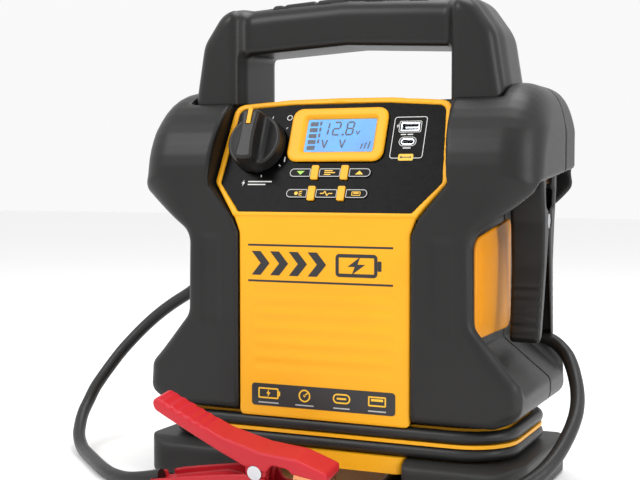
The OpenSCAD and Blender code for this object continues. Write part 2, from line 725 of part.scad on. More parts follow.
// Cheeks reach from the arm to the pivot: outer ones on one arm, inner ones on the other.
module arm(outer) {
    from = outer ? 6.9 : 3.1;
    difference() {
        union() {
            difference() {
                arm_solid();
                translate([-31, -clamp_w / 2 + 2.4, -2]) cube([56, clamp_w - 4.8, 15.6]);
            }
            for (s = [-1, 1]) {
                translate([0, s * (from + 1.75), 0]) rotate([90, 0, 0]) cylinder(r = 8, h = 3.5, center = true, $fn = 48);
                translate([-8, s * (from + 1.75) - 1.75, 0]) cube([16, 3.5, 14.5]);
            }
        }
        rotate([90, 0, 0]) cylinder(r = pivot_r + 0.05, h = 60, center = true, $fn = 48);
        for (s = [-1, 1]) {
            translate([0, s * clamp_w / 2, 0]) rotate([90, 0, 0]) cylinder(r = 5.6, h = 5.1, center = true, $fn = 48);
        }
    }
}
// Toothed copper jaw plate of one arm.
module jaw_plate() {
    plate_y(concat([[jaw_len - 0.5, 6.1], [28.5, 6.1]],
        [for (i = [0:5]) each [[28.5 + 4.1 * i + 0.1, 0.6], [28.5 + 4.1 * i + 2.1, 2.6]]], [[jaw_len - 0.6, 0.6]]), -9, 9);
}
module rivet() {
    rotate([90, 0, 0]) {
        cylinder(r = pivot_r, h = clamp_w - 4, center = true, $fn = 48);
        for (s = [-1, 1]) {
            translate([0, 0, s * (clamp_w / 2 - 1.6)]) cylinder(r = 5.4, h = 1.8, center = true, $fn = 32);
        }
    }
}
// Torsion spring: closed coils round the rivet, with one leg up to the arm.
module clamp_spring() {
    for (i = [-1:1]) {
        translate([0, 1.75 * i, 0]) rotate([90, 0, 0]) rotate_extrude($fn = 48) translate([5, 0]) circle(r = 0.8, $fn = 16);
    }
}
module mirror_arm() {
    mirror([0, 0, 1]) children();
}

// Red clamp, standing on its lower arm in front of the pack.
red_pivot = [-22, -126, 27.5];
red_tilt = 9;
red_roll = 9;
module at_red() {
    translate(red_pivot) rotate([red_roll, 0, 0]) rotate([0, red_tilt, 0]) children();
}
module red_clamp_lower() {
    color(red) at_red() mirror_arm() arm(false);
}
module red_clamp_upper() {
    color(red) at_red() arm(true);
}
module red_clamp_fittings() {
    color(steel) at_red() {
        rivet();
        clamp_spring();
    }
}
module red_jaw_lower() {
    color(copper) at_red() mirror_arm() jaw_plate();
}
module red_jaw_upper() {
    color(copper) at_red() jaw_plate();
}

// Black clamp, stored on the right with its jaws up, gripping the tab.
black_pivot = [clamp_x, clamp_y, 200];
grip_open = 8.2;   // how far each arm is turned open on the tab, in degrees
module at_black(turn) {
    translate(black_pivot) rotate([0, 0, 90]) rotate([0, -90, 0]) rotate([0, turn, 0]) children();
}
module black_clamp_rear() {
    color(black) at_black(grip_open) mirror_arm() arm(false);
}
module black_clamp_front() {
    color(black) at_black(-grip_open) arm(true);
}
module black_jaw_rear() {
    color(copper) at_black(grip_open) mirror_arm() jaw_plate();
}
module black_jaw_front() {
    color(copper) at_black(-grip_open) jaw_plate();
}
module black_clamp_fittings() {
    color(steel) at_black(0) {
        rivet();
        clamp_spring();
    }
}

// ---- battery leads -----------------------------------------------------------------------

module gland(h) {
    cylinder(r = 7, h = 9, center = true, $fn = 48);
    translate([0, 0, 4.4]) cylinder(r = 10, h = 3, $fn = 48);
    translate([0, 0, 7.4]) cylinder(r1 = 8, r2 = 6.4, h = h, $fn = 48);
}
module red_lead_gland() {
    color([0.1, 0.1, 0.1]) difference() {
        translate(red_gland_at) rotate([0, -90, 0]) translate([0, 0, -4]) gland(20);
        translate([red_gland_at.x - 50, red_gland_at.y, red_gland_at.z]) rotate([0, 90, 0])
            cylinder(r = lead_d / 2 + 0.3, h = 42, $fn = 48);
    }
}
module black_lead_gland() {
    color([0.1, 0.1, 0.1]) translate([45, 20, 12]) rotate([90, 0, 0]) difference() {
        union() {
            translate([0, 0, -7]) cylinder(r = 6, h = 7, $fn = 48);
            cylinder(r = 6.6, h = 3, $fn = 48);
            translate([0, 0, 3]) cylinder(r1 = 6.3, r2 = 5.9, h = 14, $fn = 48);
        }
        translate([0, 0, 1]) cylinder(r = lead_d / 2 + 0.2, h = 42, $fn = 48);
    }
}
module lead_glands() {
    red_lead_gland();
    black_lead_gland();
}
red_route = [[-124, 50, 150], [-140, 51.5, 149.5], [-157, 55, 146], [-173, 58.5, 139], [-188, 60, 129],
    [-205, 57, 118], [-219, 53, 107], [-230, 48, 96], [-239, 42, 85], [-246, 36, 75], [-252, 29, 64],
    [-256, 21, 54], [-258, 12, 45], [-258, 2, 35], [-256, -9, 27], [-251, -21, 19], [-243, -34, 12],
    [-230, -48, 6.5], [-215, -62, 5.3], [-200, -76, 5.3], [-185, -90, 5.3], [-170, -103, 5.3],
    [-154, -114, 5.3], [-137, -122, 6.5], [-120, -126, 9.5], [-104, -127, 13]];
black_route = [[45, 18, 12], [45, 2, 11.2], [45, -14, 9], [45, -32, 6.8], [45.5, -50, 5.4], [48, -68, 5.3],
    [54, -85, 5.3], [64, -100, 5.4], [78, -112, 5.8], [95, -119, 7.2], [113, -121, 10], [130, -117, 14.5],
    [146, -109, 20], [159, -98, 26], [168, -86, 32.5], [173, -74, 38.5], [176, -62, 44.5], [178, -50, 51],
    [179, -38, 57], [179, -26, 63.5], [177.5, -14, 70], [175, -4, 77], [171.5, 5, 84], [167, 14, 91.5],
    [161, 22, 99], [152, 27.5, 106], [142, 29, 110.5]];
module red_lead() {
    color([0.1, 0.1, 0.1]) tube(red_route, lead_d, 10);
}
module black_lead() {
    color([0.1, 0.1, 0.1]) tube(black_route, lead_d, 10);
}

// ---- nodes -------------------------------------------------------------------------------

front_shell();
rear_shell();
fascia();
control_panel();
lcd_bezel();
lcd_window();
lcd_module();
button_dividers();
button(-1, 0);  // button_down
button(0, 0);  // button_air
button(1, 0);  // button_up
button(-1, 1);  // button_light
button(0, 1);  // button_test
button(1, 1);  // button_usb
knob();
knob_pointer();
knob_shaft();
rotary_switch();
usb_a_port();
usb_c_port();
front_board();
carry_handle();
grip_pad();
base_tray();
foot(-1);  // left_foot
foot(1);  // right_foot
foot_pads();
side_panel(-1);  // left_side_panel
side_panel(1);  // right_side_panel
clamp_tabs();
rear_cover();
rear_screws();
charge_inlet();
charge_cover();
work_light_lens();
work_light_board();
battery();
battery_terminals();
main_board();
compressor_motor();
compressor_pump();
motor_pinion();
crank_gear();
air_hose();
hose_fitting();
hose_nozzle();
nozzle_lever();
red_clamp_lower();
red_clamp_upper();
red_clamp_fittings();
red_jaw_lower();
red_jaw_upper();
red_lead();
black_clamp_rear();
black_clamp_front();
black_clamp_fittings();
black_jaw_rear();
black_jaw_front();
black_lead();
lead_glands();
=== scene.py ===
"""Looks of the jump starter pack: studio camera and light, moulded shells, marks and materials.

Shapes, routes and the panel's plane are in millimetres, and are scaled to metres as their meshes
are made. The camera, the lights and the grain depths are in metres.
"""
import math

import bpy
import numpy as np
from mathutils import Matrix, Vector


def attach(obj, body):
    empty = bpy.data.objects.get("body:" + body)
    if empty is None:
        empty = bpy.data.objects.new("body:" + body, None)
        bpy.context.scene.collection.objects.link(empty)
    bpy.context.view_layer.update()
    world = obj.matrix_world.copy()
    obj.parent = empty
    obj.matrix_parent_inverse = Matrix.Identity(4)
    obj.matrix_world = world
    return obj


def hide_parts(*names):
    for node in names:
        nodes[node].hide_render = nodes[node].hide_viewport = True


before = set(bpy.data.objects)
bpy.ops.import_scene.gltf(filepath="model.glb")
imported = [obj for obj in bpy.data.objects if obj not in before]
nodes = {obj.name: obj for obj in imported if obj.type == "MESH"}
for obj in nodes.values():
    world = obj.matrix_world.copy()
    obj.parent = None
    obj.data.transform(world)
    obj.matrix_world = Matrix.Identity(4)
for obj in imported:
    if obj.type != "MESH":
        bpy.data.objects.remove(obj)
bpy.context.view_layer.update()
scene = bpy.context.scene


# ---- camera -----------------------------------------------------------------------------------

def make_camera():
    turn, dip = math.radians(24), math.radians(2.96)
    ahead = Vector((-math.sin(turn) * math.cos(dip), math.cos(turn) * math.cos(dip), -math.sin(dip)))
    data = bpy.data.cameras.new("camera")
    data.lens, data.sensor_width = 67.5, 36
    data.clip_end = 20
    cam = bpy.data.objects.new("camera", data)
    cam.location = (0.3577, -0.8775, 0.232)
    cam.rotation_euler = ahead.to_track_quat("-Z", "Y").to_euler()
    scene.collection.objects.link(cam)
    scene.camera = cam


make_camera()

# ---- materials --------------------------------------------------------------------------------

def principled(name):
    mat = bpy.data.materials.new(name)
    mat.use_nodes = True
    return mat, mat.node_tree, mat.node_tree.nodes["Principled BSDF"]


def noise(tree, scale, detail=3.0, stretch=None):
    """A noise texture in object space; scale is its cells per metre."""
    coord = tree.nodes.new("ShaderNodeTexCoord")
    tex = tree.nodes.new("ShaderNodeTexNoise")
    tex.inputs["Scale"].default_value = scale
    tex.inputs["Detail"].default_value = detail
    source = coord.outputs["Object"]
    if stretch:
        mapping = tree.nodes.new("ShaderNodeMapping")
        mapping.inputs["Scale"].default_value = stretch
        tree.links.new(source, mapping.inputs["Vector"])
        source = mapping.outputs["Vector"]
    tree.links.new(source, tex.inputs["Vector"])
    return tex


def ramp(tree, source, low, high, a, b):
    node = tree.nodes.new("ShaderNodeValToRGB")
    node.color_ramp.elements[0].position, node.color_ramp.elements[1].position = low, high
    node.color_ramp.elements[0].color, node.color_ramp.elements[1].color = (*a, 1), (*b, 1)
    tree.links.new(source, node.inputs["Fac"])
    return node


def spread(tree, source, low, high, out_low, out_high):
    node = tree.nodes.new("ShaderNodeMapRange")
    for key, value in (("From Min", low), ("From Max", high), ("To Min", out_low), ("To Max", out_high)):
        node.inputs[key].default_value = value
    tree.links.new(source, node.inputs["Value"])
    return node


def moulded(name, dark, light, rough, grain=900, grain_depth=0.00012, patch=9, rough_play=0.06,
            coat=0.0, metallic=0.0, stretch=None, specular=0.5):
    """A surface with soft patches of colour, a fine grain in its height, and uneven polish."""
    mat, tree, shader = principled(name)
    patches = noise(tree, patch, 4)
    tint = ramp(tree, patches.outputs["Fac"], 0.35, 0.65, dark, light)
    tree.links.new(tint.outputs["Color"], shader.inputs["Base Color"])
    fine = noise(tree, grain, 2, stretch)
    polish = spread(tree, fine.outputs["Fac"], 0.3, 0.7, rough - rough_play, rough + rough_play)
    tree.links.new(polish.outputs["Result"], shader.inputs["Roughness"])
    bump = tree.nodes.new("ShaderNodeBump")
    bump.inputs["Distance"].default_value = grain_depth
    bump.inputs["Strength"].default_value = 0.6
    tree.links.new(fine.outputs["Fac"], bump.inputs["Height"])
    tree.links.new(bump.outputs["Normal"], shader.inputs["Normal"])
    shader.inputs["Metallic"].default_value = metallic
    shader.inputs["Coat Weight"].default_value = coat
    shader.inputs["Coat Roughness"].default_value = 0.08
    shader.inputs["Specular IOR Level"].default_value = specular
    return mat


def glowing(name, edge, middle, strength):
    """A back-lit display: brighter in patches, seen through a glossy cover."""
    mat, tree, shader = principled(name)
    cloud = noise(tree, 35, 1)
    tint = ramp(tree, cloud.outputs["Fac"], 0.3, 0.7, edge, middle)
    tree.links.new(tint.outputs["Color"], shader.inputs["Base Color"])
    tree.links.new(tint.outputs["Color"], shader.inputs["Emission Color"])
    shader.inputs["Emission Strength"].default_value = strength
    shader.inputs["Roughness"].default_value = 0.12
    return mat


M = {
    "black": moulded("black_abs", (0.0085, 0.0082, 0.008), (0.0115, 0.0112, 0.0108), 0.4, grain=1500,
                     grain_depth=0.00008, specular=0.32),
    "black_smooth": moulded("black_handle", (0.0075, 0.0072, 0.007), (0.0105, 0.0102, 0.0098), 0.36,
                            grain=1500,
                            grain_depth=0.00008, specular=0.32),
    "foot": moulded("black_foot", (0.016, 0.0156, 0.0152), (0.021, 0.0205, 0.02), 0.5, grain=1200,
                    specular=0.35),
    "yellow": moulded("yellow_abs", (0.83, 0.37, 0.008), (0.88, 0.41, 0.01), 0.4, grain=1500,
                      grain_depth=0.00006,
                      specular=0.3),
    "yellow_deep": moulded("yellow_inset", (0.72, 0.26, 0.004), (0.79, 0.31, 0.006), 0.45, grain=1500,
                           stretch=(1, 1, 0.3), specular=0.25),
    "gloss": moulded("gloss_black", (0.0012, 0.0012, 0.0014), (0.002, 0.002, 0.0023), 0.25, grain=300,
                     grain_depth=0.00001, rough_play=0.03, specular=0.06),
    "key": moulded("key_black", (0.003, 0.003, 0.0034), (0.005, 0.005, 0.0055), 0.4, grain=900,
                   grain_depth=0.00003,
                   specular=0.12),
    "red": moulded("red_vinyl", (0.44, 0.009, 0.018), (0.52, 0.013, 0.024), 0.4, grain=1100, specular=0.35),
    "rubber": moulded("rubber", (0.009, 0.009, 0.009), (0.015, 0.015, 0.015), 0.55, grain=700,
                      grain_depth=0.00012,
                      specular=0.3),
    "jacket": moulded("cable_jacket", (0.008, 0.008, 0.0085), (0.013, 0.013, 0.013), 0.42, grain=500,
                      grain_depth=0.0001, specular=0.4),
    "steel": moulded("bright_steel", (0.55, 0.57, 0.6), (0.66, 0.68, 0.71), 0.24, grain=260,
                     grain_depth=0.00003,
                     metallic=1.0, stretch=(1, 1, 7)),
    "copper": moulded("copper", (0.62, 0.27, 0.12), (0.76, 0.36, 0.17), 0.3, grain=500,
                      grain_depth=0.00004, metallic=1.0),
    "brass": moulded("brass", (0.68, 0.48, 0.18), (0.78, 0.58, 0.25), 0.26, grain=400,
                     grain_depth=0.00003, metallic=1.0),
    "cast": moulded("cast_alloy", (0.5, 0.51, 0.52), (0.6, 0.61, 0.62), 0.45, grain=600, metallic=1.0),
    "board": moulded("circuit_board", (0.012, 0.09, 0.03), (0.02, 0.13, 0.045), 0.35, patch=120, grain=400),
    "nylon": moulded("nylon", (0.05, 0.05, 0.055), (0.07, 0.07, 0.075), 0.5),
    "pale": moulded("pale_nylon", (0.62, 0.61, 0.56), (0.7, 0.69, 0.65), 0.45),
    "cell": moulded("battery_case", (0.07, 0.075, 0.085), (0.09, 0.095, 0.105), 0.48),
    "lens": moulded("clear_lens", (0.7, 0.74, 0.78), (0.8, 0.84, 0.88), 0.12, grain=180,
                    grain_depth=0.00004, coat=0.5),
    "ink_white": moulded("ink_white", (0.62, 0.62, 0.6), (0.72, 0.72, 0.7), 0.4, grain=2000,
                         grain_depth=0.00001),
    "ink_grey": moulded("ink_grey", (0.4, 0.4, 0.39), (0.5, 0.5, 0.48), 0.4, grain=2000, grain_depth=0.00001),
    "ink_yellow": moulded("ink_yellow", (0.84, 0.47, 0.02), (0.9, 0.52, 0.025), 0.4, grain=2000,
                          grain_depth=0.00001),
    "ink_green": moulded("ink_green", (0.3, 0.6, 0.05), (0.36, 0.68, 0.07), 0.4, grain=2000,
                         grain_depth=0.00001),
    "ink_black": moulded("ink_black", (0.012, 0.012, 0.013), (0.02, 0.02, 0.021), 0.38, grain=1500,
                         grain_depth=0.00003),
    "ink_lcd": moulded("ink_lcd", (0.004, 0.012, 0.03), (0.006, 0.018, 0.045), 0.3, grain=900,
                       grain_depth=0.00001),
    "lcd": glowing("lcd_glow", (0.0015, 0.15, 0.5), (0.003, 0.27, 0.68), 0.2),
}

# ---- outlines and distances -------------------------------------------------------------------

def rounded(corners, steps=7):
    """A closed outline with round corners, from [x, y, radius] for each corner."""
    pts, n = [], len(corners)
    for i, (x, y, r) in enumerate(corners):
        p = np.array((x, y), float)
        a = np.array(corners[i - 1][:2], float) - p
        b = np.array(corners[(i + 1) % n][:2], float) - p
        a, b = a / np.linalg.norm(a), b / np.linalg.norm(b)
        half = math.acos(max(-1, min(1, float(a @ b)))) / 2
        if r <= 0 or half > math.radians(89):
            pts.append(tuple(p))
            continue
        centre = p + (a + b) / np.linalg.norm(a + b) * r / math.sin(half)
        start, end = p + a * r / math.tan(half), p + b * r / math.tan(half)
        t0 = math.atan2(*(start - centre)[::-1])
        swing = (math.atan2(*(end - centre)[::-1]) - t0 + math.pi) % (2 * math.pi) - math.pi
        pts += [tuple(centre + r * np.array((math.cos(t0 + swing * k / steps),
                                             math.sin(t0 + swing * k / steps))))
                for k in range(steps + 1)]
    return pts


def poly(u, v, pts):
    """Distance to a closed outline in a plane, negative inside it."""
    best, inside = np.float64(1e9), False
    for i, (bx, by) in enumerate(pts):
        ax, ay = pts[i - 1]
        ex, ey = bx - ax, by - ay
        length = ex * ex + ey * ey
        if length < 1e-12:
            continue
        t = np.clip(((u - ax) * ex + (v - ay) * ey) / length, 0, 1)
        best = np.minimum(best, (u - ax - t * ex) ** 2 + (v - ay - t * ey) ** 2)
        if abs(ey) > 1e-9:
            inside = inside ^ (((ay <= v) != (by <= v)) & (u < ax + (v - ay) * ex / ey))
    return np.where(inside, -1.0, 1.0) * np.sqrt(best)


def cut(a, b, r):
    """The larger of two distances, with the edge between them rounded to radius r."""
    a, b = a + r, b + r
    return np.hypot(np.maximum(a, 0), np.maximum(b, 0)) + np.minimum(np.maximum(a, b), 0) - r


def join(a, b, r):
    """The smaller of two distances, with the corner between them rounded to radius r."""
    return -cut(-a, -b, r)


def between(v, low, high):
    """Distance to a slab from low to high."""
    return np.maximum(low - v, v - high)


def step(v, low, high):
    """Rises smoothly from 0 at low to 1 at high."""
    t = np.clip((v - low) / (high - low), 0, 1)
    return t * t * (3 - 2 * t)


def brick(x, y, z, low, high, r):
    sides = cut(between(x, low[0], high[0]), between(y, low[1], high[1]), r)
    return cut(sides, between(z, low[2], high[2]), r)


# ---- meshes -----------------------------------------------------------------------------------

def add_mesh(name, points, faces, mat, body, matrix=None, smooth=True):
    """A mesh object in metres from points in millimetres, riding on a body."""
    data = bpy.data.meshes.new(name)
    pts = np.asarray(points, float)
    if matrix is not None:
        m = np.array(matrix)
        pts = pts @ m[:3, :3].T + m[:3, 3]
    if isinstance(faces, np.ndarray):
        data.vertices.add(len(pts))
        data.vertices.foreach_set("co", (pts * 0.001).astype(np.float32).ravel())
        data.loops.add(faces.size)
        data.loops.foreach_set("vertex_index", faces.astype(np.int32).ravel())
        data.polygons.add(len(faces))
        data.polygons.foreach_set("loop_start", np.arange(0, faces.size, faces.shape[1], dtype=np.int32))
        data.update(calc_edges=True)
    else:
        data.from_pydata([tuple(p) for p in pts * 0.001], [], faces)
    data.validate()
    obj = bpy.data.objects.new(name, data)
    scene.collection.objects.link(obj)
    data.materials.append(mat)
    if smooth:
        data.shade_smooth()
    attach(obj, body)
    return obj


OFFSETS = [(i, j, k) for i in (0, 1) for j in (0, 1) for k in (0, 1)]
EDGES = [(a, b) for a in range(8) for b in range(a + 1, 8)
         if sum(abs(p - q) for p, q in zip(OFFSETS[a], OFFSETS[b])) == 1]


def carve(name, solid, low, high, size, mat, body, matrix=None):
    """A closed mesh of the surface where solid(x, y, z) is 0, on a grid of the given size."""
    axes = [np.arange(low[i] - size, high[i] + 1.5 * size, size) + 0.37 * size for i in range(3)]
    shape = tuple(len(a) for a in axes)
    grid = np.broadcast_to(
        solid(axes[0][:, None, None], axes[1][None, :, None], axes[2][None, None, :]), shape)
    grid = np.asarray(grid, np.float32)
    inside = grid < 0
    count = sum(inside[i:shape[0] - 1 + i, j:shape[1] - 1 + j, k:shape[2] - 1 + k].astype(np.int8)
                for i, j, k in OFFSETS)
    cells = np.argwhere((count > 0) & (count < 8))
    number = np.full(count.shape, -1, np.int64)
    number[tuple(cells.T)] = np.arange(len(cells))
    value = [grid[tuple((cells + o).T)].astype(float) for o in np.array(OFFSETS)]
    total, hits = np.zeros((len(cells), 3)), np.zeros(len(cells))
    for a, b in EDGES:
        crossed = (value[a] < 0) != (value[b] < 0)
        t = np.where(crossed, value[a] / np.where(crossed, value[a] - value[b], 1), 0)[:, None]
        where = np.array(OFFSETS[a]) + t * (np.array(OFFSETS[b]) - np.array(OFFSETS[a]))
        total += np.where(crossed[:, None], where, 0)
        hits += crossed
    start = np.array([a[0] for a in axes])
    pts = start + (cells + total / hits[:, None]) * size
    quads = []
    for axis in range(3):
        u, v = (axis + 1) % 3, (axis + 2) % 3
        lower = [slice(None)] * 3
        upper = [slice(None)] * 3
        lower[axis], upper[axis] = slice(0, -1), slice(1, None)
        a, b = inside[tuple(lower)], inside[tuple(upper)]
        spots = np.argwhere(a != b)
        keep = ((spots[:, u] > 0) & (spots[:, v] > 0)
                & (spots[:, u] < shape[u] - 1) & (spots[:, v] < shape[v] - 1))
        spots = spots[keep]
        corners = []
        for du, dv in ((-1, -1), (0, -1), (0, 0), (-1, 0)):
            at = spots.copy()
            at[:, u] += du
            at[:, v] += dv
            corners.append(number[tuple(at.T)])
        quad = np.stack(corners, 1)
        out = a[tuple(spots.T)]
        quads.append(np.where(out[:, None], quad, quad[:, ::-1]))
    faces = np.concatenate(quads)
    pts = settle(solid, pts, size)
    return add_mesh(name, pts, faces, mat, body, matrix)


def settle(solid, pts, size):
    """Moves each point onto the surface along its slope, so edges and curves are true."""
    e = 0.02 * size
    for _ in range(2):
        x, y, z = pts.T
        d = solid(x, y, z)
        slope = np.stack([(solid(x + e, y, z) - d) / e, (solid(x, y + e, z) - d) / e,
                          (solid(x, y, z + e) - d) / e], 1)
        move = slope * (d / np.maximum((slope ** 2).sum(1), 0.05))[:, None]
        far = np.linalg.norm(move, axis=1)
        move *= np.minimum(1, 0.45 * size / np.maximum(far, 1e-9))[:, None]
        pts = pts - move
    return pts


def tube(name, path, radius, mat, body, sides=20):
    """A round tube along a smooth path, with flat ends."""
    p = np.asarray(path, float)
    t = np.gradient(p, axis=0)
    t /= np.linalg.norm(t, axis=1)[:, None]
    hoops, u = [], np.cross(t[0], (0.3, 0.2, 1.0))
    for q, along in zip(p, t):
        u = u - along * (u @ along)
        u /= np.linalg.norm(u)
        w = np.cross(along, u)
        a = np.linspace(0, 2 * math.pi, sides, endpoint=False)[:, None]
        hoops.append(q + radius * (np.cos(a) * u + np.sin(a) * w))
    n = len(p)
    pts = np.concatenate(hoops)
    faces = [[i * sides + k, i * sides + (k + 1) % sides,
              (i + 1) * sides + (k + 1) % sides, (i + 1) * sides + k]
             for i in range(n - 1) for k in range(sides)]
    faces += [list(range(sides))[::-1], [(n - 1) * sides + k for k in range(sides)]]
    return add_mesh(name, pts, faces, mat, body)


def smooth_path(points, per):
    """A curve through the points, with per steps between each two."""
    p = np.asarray(points, float)
    p = np.vstack([2 * p[0] - p[1], p, 2 * p[-1] - p[-2]])
    out = []
    for i in range(1, len(p) - 2):
        for k in range(per):
            t = k / per
            out.append(0.5 * (2 * p[i] + (p[i + 1] - p[i - 1]) * t
                              + (2 * p[i - 1] - 5 * p[i] + 4 * p[i + 1] - p[i + 2]) * t * t
                              + (3 * p[i] - p[i - 1] - 3 * p[i + 1] + p[i + 2]) * t ** 3))
    return np.array(out + [p[-2]])


def prisms(name, shapes, low, high, mat, body, matrix):
    """Flat pieces with the given outlines, from height low to height high of a plane."""
    pts, faces = [], []
    for shape in shapes:
        area = sum(shape[i - 1][0] * shape[i][1] - shape[i][0] * shape[i - 1][1] for i in range(len(shape)))
        if area < 0:
            shape = shape[::-1]
        n, base = len(shape), len(pts)
        pts += [(x, y, low) for x, y in shape] + [(x, y, high) for x, y in shape]
        faces += [[base + k for k in range(n)][::-1], [base + n + k for k in range(n)]]
        faces += [[base + k, base + (k + 1) % n, base + n + (k + 1) % n, base + n + k] for k in range(n)]
    return add_mesh(name, pts, faces, mat, body, matrix, smooth=False)


def rings(outer, width):
    """The strokes of a closed line of the given width just inside an outline."""
    o = np.array(outer)
    n = len(o)
    inner = []
    for i in range(n):
        a, b = o[i] - o[i - 1], o[(i + 1) % n] - o[i]
        a, b = a / max(np.linalg.norm(a), 1e-9), b / max(np.linalg.norm(b), 1e-9)
        m = np.array((-(a[1] + b[1]), a[0] + b[0]))
        m /= max(np.linalg.norm(m), 1e-9)
        inner.append(o[i] + m * width / max(0.4, m @ np.array((-a[1], a[0]))))
    inner = np.array(inner)
    return [[tuple(o[i - 1]), tuple(o[i]), tuple(inner[i]), tuple(inner[i - 1])] for i in range(n)]


def line(a, b, width):
    a, b = np.array(a, float), np.array(b, float)
    side = (b - a) / np.linalg.norm(b - a)
    side = np.array((-side[1], side[0])) * width / 2
    return [tuple(a - side), tuple(b - side), tuple(b + side), tuple(a + side)]


def box2(cx, cy, w, h, r=0.0):
    return rounded([(cx + w / 2, cy + h / 2, r), (cx - w / 2, cy + h / 2, r), (cx - w / 2, cy - h / 2, r),
                    (cx + w / 2, cy - h / 2, r)], 5)


def disc(cx, cy, r, n=28):
    return [(cx + r * math.cos(2 * math.pi * k / n), cy + r * math.sin(2 * math.pi * k / n))
            for k in range(n)]


def moved(shapes, dx, dy, scale=1.0):
    return [[(x * scale + dx, y * scale + dy) for x, y in s] for s in shapes]


# ---- leads ------------------------------------------------------------------------------------

LEAD_D = 10.5
RED_ROUTE = [
    (-124, 50, 150), (-140, 51.5, 149.5), (-157, 55, 146), (-173, 58.5, 139), (-188, 60, 129),
    (-205, 57, 118), (-219, 53, 107), (-230, 48, 96), (-239, 42, 85), (-246, 36, 75), (-252, 29, 64),
    (-256, 21, 54), (-258, 12, 45), (-258, 2, 35), (-256, -9, 27), (-251, -21, 19), (-243, -34, 12),
    (-230, -48, 6.5), (-215, -62, 5.3), (-200, -76, 5.3), (-185, -90, 5.3), (-170, -103, 5.3),
    (-154, -114, 5.3), (-137, -122, 6.5), (-120, -126, 9.5), (-104, -127, 13)]
BLACK_ROUTE = [
    (45, 18, 12), (45, 2, 11.2), (45, -14, 9), (45, -32, 6.8), (45.5, -50, 5.4), (48, -68, 5.3),
    (54, -85, 5.3), (64, -100, 5.4), (78, -112, 5.8), (95, -119, 7.2), (113, -121, 10), (130, -117, 14.5),
    (146, -109, 20), (159, -98, 26), (168, -86, 32.5), (173, -74, 38.5), (176, -62, 44.5), (178, -50, 51),
    (179, -38, 57), (179, -26, 63.5), (177.5, -14, 70), (175, -4, 77), (171.5, 5, 84), (167, 14, 91.5),
    (161, 22, 99), (152, 27.5, 106), (142, 29, 110.5)]


def lead(name, route, node):
    """One battery lead: its curve, and the real length of that curve."""
    path = smooth_path(route, 5) * 0.001
    curve = bpy.data.curves.new(name, "CURVE")
    curve.dimensions = "3D"
    curve.bevel_depth = LEAD_D / 2000
    curve.bevel_resolution = 6
    curve.use_fill_caps = True
    spline = curve.splines.new("POLY")
    spline.points.add(len(path) - 1)
    for point, p in zip(spline.points, path):
        point.co = (*p, 1)
    curve.materials.append(M["jacket"])
    obj = bpy.data.objects.new(name, curve)
    scene.collection.objects.link(obj)
    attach(obj, "pack")
    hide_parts(node)
    return obj, path, float(np.linalg.norm(np.diff(path, axis=0), axis=1).sum())


red_lead, red_path, red_length = lead("red_lead_jacket", RED_ROUTE, "red_lead")
black_lead, black_path, black_length = lead("black_lead_jacket", BLACK_ROUTE, "black_lead")

# ---- case -------------------------------------------------------------------------------------

HALF_OUTLINE = rounded([
    (-60, 53, 0), (131, 53, 9), (149.6, 65, 11), (149.6, 87, 12), (114, 127, 14), (113, 190, 16),
    (159.6, 224, 13), (159.6, 268, 30), (145, 340, 0), (-60, 340, 0)])
SIDE_OUTLINE = rounded([(-73, 53, 6), (75, 53, 6), (75, 302, 34), (-73, 302, 70)], 12)
WINDOW = rounded([
    (-60, 30, 0), (69.6, 30, 0), (69.6, 191, 6), (75, 203, 0), (96, 228, 5), (90.5, 292, 0),
    (90.5, 340, 0), (-60, 340, 0)])
LEDGE = [(113, 110), (151, 79), (176, 58), (176, 207), (113, 207)]
SPLIT = 20.0


def case_outside(x, y, z):
    edge = 9 + 3 * step(z, 60, 85) - 5 * step(z, 95, 130) + 20 * step(z, 195, 240) - 9 * step(z, 262, 300)
    solid = cut(poly(np.abs(x), z, HALF_OUTLINE), poly(y, z, SIDE_OUTLINE), edge)
    return cut(solid, np.minimum(z - 290, 127.6 - np.abs(x)), 1.5)


def case_hollows(x, y, z):
    ax = np.abs(x)
    bay = cut(poly(ax, z, LEDGE), between(y, -63, 63), 7)
    rising = (z - 229 - (y + 50) * 0.1) * 0.995
    hood = cut(cut(119 - ax, np.maximum(rising, 200 - z), 1.5), between(y, -57, 63), 6)
    pocket = brick(ax, y, z, (119, -50, 200), (155.5, 58, 262), 6)
    return np.minimum(np.minimum(bay, hood), pocket)


def case_shape(x, y, z):
    ax = np.abs(x)
    solid = case_outside(x, y, z)
    pad = step(7.6 - np.abs(ax - 93), -0.9, 0.9) * step(33 - np.abs(z - 155), -0.9, 0.9) * step(-60 - y, 0, 6)
    solid = solid + 0.8 * pad
    solid = cut(solid, -case_hollows(x, y, z), 2.6)
    front = np.maximum(poly(ax, z, WINDOW), y + 30)
    solid = cut(solid, -front, 2.2)
    cavity = np.maximum(np.maximum(case_outside(x, y, z) + 3.4, 3.4 - case_hollows(x, y, z)), 3.0 - front)
    return np.maximum(solid, -cavity)


def front_shell(x, y, z):
    return cut(case_shape(x, y, z), y - SPLIT + 0.25, 0.8)


def rear_shell(x, y, z):
    solid = case_shape(x, y, z)
    cover = np.maximum(poly(x, z, COVER_SEAT), 73.2 - y)
    inlet = np.maximum(poly(x, z, INLET_SEAT), 73.2 - y)
    holes = np.minimum(np.maximum(poly(x, z, INLET_HOLE), 50 - y), np.maximum(poly(x, z, LIGHT_HOLE), 50 - y))
    vent = np.maximum(poly(x, z, VENT_HOLE), 50 - y)
    gland = np.maximum(np.hypot(y - 50, z - 150) - 7.1, between(x, -130, -90))
    for hollow in (cover, inlet, holes, vent, gland):
        solid = np.maximum(solid, -hollow)
    return cut(solid, SPLIT + 0.25 - y, 0.8)


